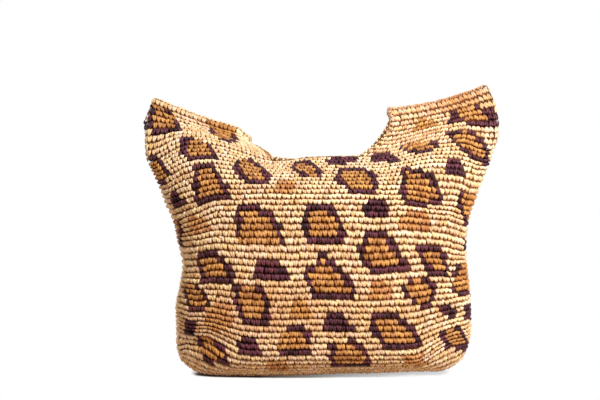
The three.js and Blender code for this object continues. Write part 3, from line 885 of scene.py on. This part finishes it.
# %% Model the stitch
COURSE = 0.0088
LEG_SIDES = 5
# Rings of the right leg: across, out of the fabric, up, half width, half thickness
LEG_RINGS = np.array([
    (0.0004, -0.0016, 0.0000, 0.0006, 0.0005),
    (0.0009, 0.0003, 0.0026, 0.0013, 0.0014),
    (0.0014, 0.0006, 0.0064, 0.0020, 0.0014),
    (0.0015, -0.0014, 0.0084, 0.0018, 0.0006),
])
first_place, (first_wide, first_thick) = LEG_RINGS[0, :3], LEG_RINGS[0, 3:]

bpy.ops.mesh.primitive_circle_add(vertices=LEG_SIDES, radius=1, fill_type="NGON")
stitch = bpy.context.object
bpy.ops.object.mode_set(mode="EDIT")
bpy.ops.mesh.select_all(action="SELECT")
bpy.ops.transform.resize(value=(first_wide, first_thick, 1), center_override=(0, 0, 0))
bpy.ops.transform.translate(value=first_place)
for ring, ring_below in zip(LEG_RINGS[1:], LEG_RINGS[:-1]):
    move = ring[:3] - ring_below[:3]
    bpy.ops.mesh.extrude_region_move(TRANSFORM_OT_translate={"value": move})
    grow = (ring[3] / ring_below[3], ring[4] / ring_below[4], 1)
    bpy.ops.transform.resize(value=grow, center_override=ring[:3])
bpy.ops.mesh.select_all(action="SELECT")
bpy.ops.mesh.duplicate()
bpy.ops.transform.resize(value=(-1, 1, 1), center_override=(0, 0, 0))
bpy.ops.mesh.select_all(action="SELECT")
bpy.ops.mesh.normals_make_consistent(inside=False)
bpy.ops.object.mode_set(mode="OBJECT")
print(f"A stitch has {len(stitch.data.polygons)} faces")

# %% [markdown]
# The stitch is read back as arrays, so that thousands of copies can be bent at once. Each
# point remembers its leg and its ring. Each corner of a face gets a place on two maps: one
# that runs round and up a leg, for streaks, and one that lays both legs side by side in a
# square cell, for baking.

# %% Read the stitch
# Room round a leg in its half of the cell, for faces that cross its seam
LEG_MAP_WIDE = 1.25
stitch_points = np.array([vertex.co for vertex in stitch.data.vertices])
stitch_sizes = np.array([len(face.vertices) for face in stitch.data.polygons])
stitch_corners = np.array([k for face in stitch.data.polygons for k in face.vertices])
bpy.data.objects.remove(stitch)

ring_of = np.abs(stitch_points[:, 2:] - LEG_RINGS[:, 2]).argmin(axis=1)
is_left = np.arange(len(stitch_points)) >= len(stitch_points) // 2
from_middle = stitch_points[:, 0] * np.where(is_left, -1, 1) - LEG_RINGS[ring_of, 0]
from_ring = stitch_points[:, 1] - LEG_RINGS[ring_of, 1]
corner_around = (np.arctan2(from_ring, from_middle) / (2 * np.pi) % 1)[stitch_corners]
# A side face that crosses the seam of a leg goes on past 1 on the map
for first_corner, size in zip(np.cumsum(stitch_sizes) - stitch_sizes, stitch_sizes):
    part = corner_around[first_corner:first_corner + size]
    if size == 4 and np.ptp(part) > 0.5:
        part[part < 0.5] += 1
up_leg = ring_of / (len(LEG_RINGS) - 1)
strand_map = np.stack([corner_around, up_leg[stitch_corners]], axis=1)
cell_map = (strand_map / (LEG_MAP_WIDE, 1) + is_left[stitch_corners][:, None] * (1, 0)) / (2, 1)
print(f"A stitch has {len(stitch_points)} points")

# %% [markdown]
# ## Laying the stitches
# Each course gets as many stitches as fit its length. A stitch is bent onto the fabric
# point by point: its width runs along the course, its height up to the next course, and
# its thickness out along the normal. Nothing made by hand is even, so every stitch is
# moved, stretched and leaned a little, always from the same seed.

# %% Bend stitches onto a fabric
COURSE_DRIFT = 0.35
LEAN = -0.2
# How much stitches differ in width, height, place and lean, and legs in rise and thickness
WIDE_VARIES, TALL_VARIES, PLACE_VARIES, LEAN_VARIES = 0.05, 0.04, 0.05, 0.12
RISE_VARIES, OUT_VARIES = 0.06, 0.14
FLOOR_CLEAR = 0.0002
# How deep the ends of a stitch go, on an open face and on a tight bend, and how wide the bend is
DEEP, SHALLOW, BEND = -0.0016, 0.0008, 0.07


def stitch_places(fabric, first, last, count=None):
    """Course, place along it and number of stitches in it, for each stitch of some courses."""
    places = []
    for course in range(first, last):
        stitches = count or max(1, round(fabric.length(course) / STITCH))
        drift = course * COURSE_DRIFT if fabric.closed else 0.0
        along = (np.arange(stitches) + 0.5 + drift) / stitches
        along = along % 1 if fabric.closed else along
        places.append(np.stack([np.full(stitches, course), along, np.full(stitches, stitches)]))
    return np.concatenate(places, axis=1)


def bend_stitches(fabric, course, along, stitches, rng):
    """The points of stitches, bent onto the fabric."""
    many, each_leg = (len(course), 1), (len(course), 2)
    wide, tall = rng.normal(1, WIDE_VARIES, many), rng.normal(1, TALL_VARIES, many)
    aside, lean = rng.normal(0, PLACE_VARIES, many), rng.normal(LEAN, LEAN_VARIES, many)
    above = rng.normal(0, RISE_VARIES, each_leg)[:, is_left.astype(int)]
    out = rng.normal(1, OUT_VARIES, each_leg)[:, is_left.astype(int)]
    x, height, up = (side[None] for side in stitch_points.T)
    up = up / COURSE * tall + above
    x = x / STITCH * wide + aside + lean * up
    bend = 0.0 if fabric.closed else np.exp(-((along[:, None] - 0.5) / BEND) ** 2)
    height = np.maximum(height * out, DEEP + (SHALLOW - DEEP) * bend)
    points = fabric.at(course[:, None] + up, along[:, None] + x / stitches[:, None], height)
    points[..., 2] = np.maximum(points[..., 2], FLOOR_CLEAR)
    return points


print(f"Stitches are {STITCH * 1000} mm wide and about {COURSE * 1000} mm tall")

# %% [markdown]
# Thousands of separate objects would be slow, so the stitches of a piece become one mesh,
# filled from arrays. The colour of each stitch is kept on its points, darker at the ends
# of its legs, where they go under other stitches and lie in warm shade.

# %% Join stitches
# Painted shade: red, green and blue that each ring of a leg keeps, darkest at the ends that go under
# other stitches and a little lighter at the third ring
RING_PAINTED_SHADE = np.array([(0.45, 0.30, 0.18), (1, 1, 1), (1.04, 1.04, 1.04), (0.62, 0.46, 0.34)])
BAKE_MARGIN = 0.08
STRAND_SPREAD = 40


def join_stitches(name, points, colours, rng):
    """One mesh of all the stitches, with their colours and two maps of their surface."""
    count = len(points)
    mesh = bpy.data.meshes.new(name)
    mesh.vertices.add(count * len(stitch_points))
    mesh.vertices.foreach_set("co", points.astype(np.float32).ravel())
    mesh.loops.add(count * len(stitch_corners))
    shift = np.arange(count)[:, None] * len(stitch_points)
    mesh.loops.foreach_set("vertex_index", (stitch_corners + shift).astype(np.int32).ravel())
    sizes = np.tile(stitch_sizes, count)
    mesh.polygons.add(len(sizes))
    mesh.polygons.foreach_set("loop_start", (np.cumsum(sizes) - sizes).astype(np.int32))
    mesh.update(calc_edges=True)
    mesh.shade_smooth()
    shown = np.ones((count, len(stitch_points), 4))
    # Painted shade: each ring of a leg darkens the stitch's colour, most at the ends of the legs
    shown[..., :3] = colours[:, None] * RING_PAINTED_SHADE[ring_of]
    yarn = mesh.color_attributes.new("Yarn", "FLOAT_COLOR", "POINT")
    yarn.data.foreach_set("color", shown.ravel())
    across = int(np.ceil(np.sqrt(count)))
    cell = np.stack([np.arange(count) % across, np.arange(count) // across], axis=1)
    bake = (cell[:, None] + BAKE_MARGIN + (1 - 2 * BAKE_MARGIN) * cell_map[None]) / across
    strand = strand_map[None] + rng.uniform(0, STRAND_SPREAD, (count, 1, 2))
    for label, where in (("OFBake", bake), ("Strand", strand)):
        mesh.uv_layers.new(name=label).data.foreach_set("uv", where.astype(np.float32).ravel())
    mesh.validate()
    piece = bpy.data.objects.new(name, mesh)
    bpy.context.collection.objects.link(piece)
    return piece


print(f"Each ring of a leg has its own shade: {len(RING_PAINTED_SHADE)} of them")

# %% [markdown]
# ## Raffia
# Dried palm leaf has a soft satin sheen and fine streaks along the strip. The streaks are
# a noise texture that is squeezed across the strip and left long along it. They are put
# in a node group, because the stitches and the wall behind them share this effect.

# %% Fibre node group
STREAK_SCALE = (16, 1.6, 1)
STREAK_LOW, STREAK_HIGH = 0.3, 0.7
ROUGH, SATIN = 0.62, 0.42


def add_node(tree, kind, **values):
    """A node with the values of its sockets and settings, by name."""
    node = tree.nodes.new(kind)
    for label, value in values.items():
        if label in node.inputs:
            node.inputs[label].default_value = value
        else:
            setattr(node, label, value)
    return node


def connect(tree, *wires):
    """Wires, each from an output of one node to an input of another."""
    for start, leaving, end, arriving in wires:
        tree.links.new(start.outputs[leaving], end.inputs[arriving])


fibre = bpy.data.node_groups.new("raffia fibre", "ShaderNodeTree")
for way, label, kind in (("INPUT", "Yarn", "Color"), ("INPUT", "Strand", "Vector"),
                         ("INPUT", "Contrast", "Float"), ("OUTPUT", "Color", "Color"),
                         ("OUTPUT", "Roughness", "Float"), ("OUTPUT", "Height", "Float")):
    fibre.interface.new_socket(label, in_out=way, socket_type="NodeSocket" + kind)
enter, leave = add_node(fibre, "NodeGroupInput"), add_node(fibre, "NodeGroupOutput")
squeeze = add_node(fibre, "ShaderNodeMapping", Scale=STREAK_SCALE)
streaks = add_node(fibre, "ShaderNodeTexNoise", Scale=1.0, Detail=3.0, Roughness=0.6)
shade = add_node(fibre, "ShaderNodeMapRange", **{"From Min": STREAK_LOW, "From Max": STREAK_HIGH})
dim = add_node(fibre, "ShaderNodeMath", operation="SUBTRACT")
dim.inputs[0].default_value = 1.0
bright = add_node(fibre, "ShaderNodeMath", operation="ADD")
bright.inputs[0].default_value = 1.0
tinted = add_node(fibre, "ShaderNodeVectorMath", operation="SCALE")
satin = add_node(fibre, "ShaderNodeMapRange", **{"To Min": ROUGH, "To Max": SATIN})
connect(fibre, (enter, "Strand", squeeze, "Vector"), (squeeze, "Vector", streaks, "Vector"),
        (streaks, "Fac", shade, "Value"), (enter, "Contrast", dim, 1), (dim, 0, shade, "To Min"),
        (enter, "Contrast", bright, 1), (bright, 0, shade, "To Max"), (enter, "Yarn", tinted, 0),
        (shade, 0, tinted, "Scale"), (tinted, 0, leave, "Color"), (streaks, "Fac", satin, "Value"),
        (satin, 0, leave, "Roughness"), (streaks, "Fac", leave, "Height"))
print(f"The fibre group has {len(fibre.nodes)} nodes")

# %% [markdown]
# Two materials use the group. They read the yarn's colour, with its painted shade, from the mesh and
# the way of the strands from a map. The wall is duller than the stitches, because it lies in deep
# shade and shine would turn the gaps grey.

# %% Raffia material
SHEEN = 0.02
BUMP = 0.6


def raffia_material(name, map_name, contrast, relief, gloss):
    """Raffia that reads its yarn colour with painted shade and the way its strands run from the mesh.
    """
    material = bpy.data.materials.new(name)
    material.use_nodes = True
    tree = material.node_tree
    shader = tree.nodes["Principled BSDF"]
    shader.inputs["Specular IOR Level"].default_value = gloss
    shader.inputs["Sheen Weight"].default_value = SHEEN
    yarn = add_node(tree, "ShaderNodeVertexColor", layer_name="Yarn")
    strand = add_node(tree, "ShaderNodeUVMap", uv_map=map_name)
    group = add_node(tree, "ShaderNodeGroup", node_tree=fibre)
    group.inputs["Contrast"].default_value = contrast
    bump = add_node(tree, "ShaderNodeBump", Strength=BUMP, Distance=relief)
    connect(tree, (yarn, "Color", group, "Yarn"), (strand, "UV", group, "Strand"),
            (group, "Color", shader, "Base Color"), (group, "Roughness", shader, "Roughness"),
            (group, "Height", bump, "Height"), (bump, "Normal", shader, "Normal"))
    return material


stitch_raffia = raffia_material("raffia stitches", "Strand", contrast=0.22, relief=0.0003, gloss=0.28)
wall_raffia = raffia_material("raffia wall", "Weave", contrast=0.3, relief=0.0004, gloss=0.05)
print("Materials:", stitch_raffia.name, "and", wall_raffia.name)

# %% [markdown]
# ## The walls behind the stitches
# Between stitches one sees the loops that run behind them, and inside the bag one sees
# their backs, as low ribs. A flat grid is laid onto the fabric, ribbed once for each
# course, and given its thickness by Solidify. These walls replace the plain solids.

# %% Lay a wall
WALL_OUT, WALL_THICK = -0.0012, 0.0010
RIB = 0.0004
WALL_ROWS = 3
# Painted shade: the wall takes its yarn's mean colour, made much darker and warmer
WALL_PAINTED_SHADE = np.array([0.20, 0.10, 0.055])


def lay_wall(wall, node):
    """Bends a flat grid onto a fabric, and gives it the colours of the yarns there, darkened as
    painted shade.
    """
    fabric = fabrics[node]
    flat = np.empty(len(wall.data.vertices) * 3)
    wall.data.vertices.foreach_get("co", flat)
    along, level = flat.reshape(-1, 3)[:, 0] + 0.5, flat.reshape(-1, 3)[:, 1] + 0.5
    course = level * fabric.courses
    points = fabric.at(course, along, WALL_OUT + RIB * np.cos(2 * np.pi * (course - 0.5)))
    points[:, 2] = np.maximum(points[:, 2], 2 * FLOOR_CLEAR)
    wall.data.vertices.foreach_set("co", points.ravel())
    yarns = yarn_at(node, np.floor(course) + 0.5, along, front_of(node, course, along))
    shown = np.ones((len(yarns), 4))
    # Painted shade: the yarn's mean colour, much darker and warmer, for the gaps between stitches
    shown[:, :3] = YARNS[yarns].mean(axis=1) * WALL_PAINTED_SHADE
    yarn = wall.data.color_attributes.new("Yarn", "FLOAT_COLOR", "POINT")
    yarn.data.foreach_set("color", shown.ravel())
    weave = np.empty(len(wall.data.loops) * 2)
    wall.data.uv_layers["Weave"].data.foreach_get("uv", weave)
    weave = weave.reshape(-1, 2) * (fabric.lengths.mean() / STITCH, fabric.courses)
    wall.data.uv_layers["Weave"].data.foreach_set("uv", weave.ravel())


print(f"Walls are {WALL_THICK * 1000} mm thick")

# %% [markdown]
# A round wall starts as a flat grid too, so the points that meet at its ends are merged.
# Then Solidify gives the skin its thickness.

# %% Make the walls
COLUMNS = {"body": 132, "base": 132, "strap": 48}
MERGE = 0.00005


def finish_piece(piece, material):
    """Every piece is raffia and belongs to the one rigid body of the bag."""
    piece.data.materials.append(material)
    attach(piece, "root")


for node, columns in COLUMNS.items():
    rows = fabrics[node].courses * WALL_ROWS
    bpy.ops.object.select_all(action="DESELECT")
    bpy.ops.mesh.primitive_grid_add(x_subdivisions=columns, y_subdivisions=rows, size=1)
    wall = bpy.context.object
    wall.name = wall.data.name = node + "_wall"
    wall.data.uv_layers[0].name = "Weave"
    lay_wall(wall, node)
    bpy.ops.object.mode_set(mode="EDIT")
    bpy.ops.mesh.select_all(action="SELECT")
    bpy.ops.mesh.remove_doubles(threshold=MERGE)
    bpy.ops.object.mode_set(mode="OBJECT")
    solid = wall.modifiers.new("thickness", "SOLIDIFY")
    solid.thickness, solid.offset = WALL_THICK, -1.0
    bpy.ops.object.modifier_apply(modifier=solid.name)
    bpy.ops.object.shade_smooth()
    finish_piece(wall, wall_raffia)
    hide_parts(node)
    print(f"{wall.name} has {len(wall.data.polygons)} faces")

# %% [markdown]
# ## Stitches of the body, base and strap
# The stitches are kept in a few pieces by place, so that none grows too heavy. Each piece
# works out its yarns and colours, bends the stitches onto its fabric and joins them.

# %% Work the crochet
MIDDLE_FROM, TOP_FROM = 15, 29
# Each piece: its name, the node it lies on, its first course and the one after its last
PIECES = [
    ("base_stitches", "base", 0, BASE_ROUNDS),
    ("body_stitches_low", "body", 0, MIDDLE_FROM),
    ("body_stitches_middle", "body", MIDDLE_FROM, TOP_FROM),
    ("body_stitches_top", "body", TOP_FROM, BODY_COURSES),
    ("ear_stitches_left", "strap", 0, left_last),
    ("swag_stitches", "strap", left_last, right_first),
    ("ear_stitches_right", "strap", right_first, strap_courses),
]
for seed, (name, node, first, last) in enumerate(PIECES, start=1):
    rng = np.random.default_rng(seed)
    fabric = fabrics[node]
    course, along, stitches = stitch_places(fabric, first, last)
    yarns = yarn_at(node, course + 0.5, along, front_of(node, course, along))
    colours = yarn_colours(yarns, course, along, stitches, rng)
    # Natural yarn is darkened and warmed in a few places, as painted shade
    colours = colours * deepened(yarns, fabric.at(course + 0.5, along))
    points = bend_stitches(fabric, course, along, stitches, rng)
    finish_piece(join_stitches(name, points, colours, rng), stitch_raffia)
    print(f"{name} has {len(course)} stitches")

# %% [markdown]
# ## Finished edges
# The mouth and the strap's open edges end in a row of slip stitches, which look like a
# chain lying along the edge. The edge is wrapped in a narrow half tube, and one stitch
# after another is laid along it.

# %% Find the edges
MOUTH_TURNS = [(-0.15, 0.11), (0.39, 0.65)]
MOUTH_SAMPLES, STRAP_SAMPLES = 200, 800
# How far into the fabric the way out of it is measured from, in courses and along the sections
COURSE_STEP, SIDE_STEP = 0.5, 0.02


def edge_of(fabric, course, along, course_in, along_in):
    """Points of an edge, the way out of the fabric there, and its normals."""
    points = fabric.at(course, along)
    return points, unit(points - fabric.at(course_in, along_in)), fabric.normal(course, along)


edges = []
for turn_from, turn_to in MOUTH_TURNS:
    along = np.linspace(turn_from, turn_to, MOUTH_SAMPLES)
    top_course = np.full(along.shape, float(BODY_COURSES))
    edge = edge_of(body, top_course, along, top_course - COURSE_STEP, along)
    on_mouth = (edge[0][:, 0] > EARS["left"]["mouth"]) & (edge[0][:, 0] < EARS["right"]["mouth"])
    edges.append([part[on_mouth] for part in edge])
for side, step in ((0.0, SIDE_STEP), (1.0, -SIDE_STEP)):
    course = np.linspace(0, strap_courses, STRAP_SAMPLES)
    along = np.full(course.shape, side)
    edges.append(edge_of(strap, course, along, course, along + step))
print(f"There are {len(edges)} edges to finish")

# %% Edge stitches
EDGE_RADIUS, EDGE_INSET = 0.0018, 0.0022
EDGE_STITCH = 0.0062
EDGE_POINTS, EDGE_SEED = 13, 8
EDGE_TURN = np.linspace(np.pi / 2, -np.pi / 2, EDGE_POINTS)


def edge_fabric(points, outward, normals):
    """A half tube round an edge, with its courses along the edge and its outside outward."""
    reach = reach_along(points)
    courses = max(2, round(reach[-1] / EDGE_STITCH))
    at = np.linspace(0, reach[-1], courses * ROWS_A_COURSE + 1)
    points, out, up = (read_along(part, reach, at)[:, None] for part in (points, outward, normals))
    c, s = np.cos(EDGE_TURN)[None, :, None], np.sin(EDGE_TURN)[None, :, None]
    rows = points - EDGE_INSET * out + EDGE_RADIUS * (c * out + s * up)
    if np.cross(rows[0, 1] - rows[0, 0], rows[1, 0] - rows[0, 0]) @ normals[0] < 0:
        rows = rows[:, ::-1]
    return Fabric(rows)


rng = np.random.default_rng(EDGE_SEED)
edge_points, edge_colours = [], []
for edge in edges:
    tube = edge_fabric(*edge)
    course, along, stitches = stitch_places(tube, 0, tube.courses, count=1)
    edge_points.append(bend_stitches(tube, course, along, stitches, rng))
    plain = np.full(course.shape, NATURAL)
    edge_colours.append(yarn_colours(plain, course, along, stitches, rng))
edge_points, edge_colours = np.concatenate(edge_points), np.concatenate(edge_colours)
finish_piece(join_stitches("edge_stitches", edge_points, edge_colours, rng), stitch_raffia)
print(f"The edges have {len(edge_points)} stitches")

# %% [markdown]
# ## Floor and light
# The bag stands on a white sweep, as in a shop's picture. To the camera the floor glows
# white, with a thin dark shadow where the bag hides the sky from it. To the bag it is a
# warm matt floor that reflects some light upward. The same trick makes the surround white
# for the camera and warmer and dimmer as a light.

# %% Floor
FLOOR_SIZE = 60.0
FLOOR_WARM, FLOOR_ROUGH = (0.55, 0.42, 0.32, 1), 0.9
WHITE = (1, 1, 1, 1)
# How far from the bag the shadow reaches, then the share of open sky and the colour it shows
CONTACT = 0.007
SHADOW = [(0.35, (0.02, 0.013, 0.01, 1)), (0.6, (0.16, 0.12, 0.1, 1)), (0.85, (0.72, 0.69, 0.67, 1)),
          (1.0, WHITE)]
# The shadow fades towards the light: from and up to which x, and by how much
FADE_FROM, FADE_TO, FADE = -0.08, 0.16, 0.72


def show_to_camera(tree, shown, lit, output):
    """Shows one shader to the camera, and uses another one for the light."""
    path = add_node(tree, "ShaderNodeLightPath")
    either = add_node(tree, "ShaderNodeMixShader")
    connect(tree, (path, "Is Camera Ray", either, "Fac"), (lit, 0, either, 1),
            (shown, 0, either, 2), (either, 0, tree.nodes[output], "Surface"))


bpy.ops.object.select_all(action="DESELECT")
bpy.ops.mesh.primitive_plane_add(size=FLOOR_SIZE)
floor = bpy.context.object
floor.name = "floor"
floor_material = bpy.data.materials.new("pale floor")
floor_material.use_nodes = True
tree = floor_material.node_tree
lit = tree.nodes["Principled BSDF"]
lit.inputs["Base Color"].default_value = FLOOR_WARM
lit.inputs["Roughness"].default_value = FLOOR_ROUGH
near = add_node(tree, "ShaderNodeAmbientOcclusion", Distance=CONTACT)
ramp = add_node(tree, "ShaderNodeValToRGB")
stops = ramp.color_ramp.elements
made = len(stops)
for number, (place, colour) in enumerate(SHADOW):
    stop = stops[number] if number < made else stops.new(place)
    stop.position, stop.color = place, colour
where = add_node(tree, "ShaderNodeNewGeometry")
sides = add_node(tree, "ShaderNodeSeparateXYZ")
fade = add_node(tree, "ShaderNodeMapRange",
                **{"From Min": FADE_FROM, "From Max": FADE_TO, "To Max": FADE})
faded = add_node(tree, "ShaderNodeMixRGB", Color2=WHITE)
shown = add_node(tree, "ShaderNodeEmission")
connect(tree, (near, "AO", ramp, "Fac"), (where, "Position", sides, "Vector"),
        (sides, "X", fade, "Value"), (fade, "Result", faded, "Fac"),
        (ramp, "Color", faded, "Color1"), (faded, "Color", shown, "Color"))
show_to_camera(tree, shown, lit, "Material Output")
floor.data.materials.append(floor_material)
print(f"The floor is {FLOOR_SIZE:.0f} m wide")

# %% [markdown]
# The photograph is lit softly from the upper right. A square lamp in front on that side
# shapes the courses, and a weaker one behind lights the back. The surround fills the rest.

# %% Lights
SURROUND, SURROUND_WARM = 0.42, (1, 0.94, 0.89, 1)
LIGHT_AIM = (0, 0, 0.15)


def soft_light(name, place, size, power, colour):
    """A square lamp that faces the middle of the bag."""
    bpy.ops.object.light_add(type="AREA", location=place)
    lamp = bpy.context.object
    lamp.name = name
    lamp.data.size, lamp.data.energy, lamp.data.color = size, power, colour
    across, along, above = np.subtract(place, LIGHT_AIM)
    lamp.rotation_euler = (np.arctan2(np.hypot(across, along), above), 0,
                           np.arctan2(along, across) + np.pi / 2)


scene = bpy.context.scene
scene.view_settings.view_transform = "Standard"
scene.world = scene.world or bpy.data.worlds.new("surround")
scene.world.use_nodes = True
tree = scene.world.node_tree
white = tree.nodes["Background"]
white.inputs["Color"].default_value = WHITE
fill = add_node(tree, "ShaderNodeBackground", Color=SURROUND_WARM, Strength=SURROUND)
show_to_camera(tree, white, fill, "World Output")
soft_light("key", place=(0.74, -0.95, 1.18), size=0.5, power=33, colour=(0.98, 1, 1.04))
soft_light("back", place=(-0.7, 1.1, 0.5), size=0.9, power=15, colour=(1, 1, 1))
print(f"Two soft lamps and a surround of {SURROUND} light the bag")
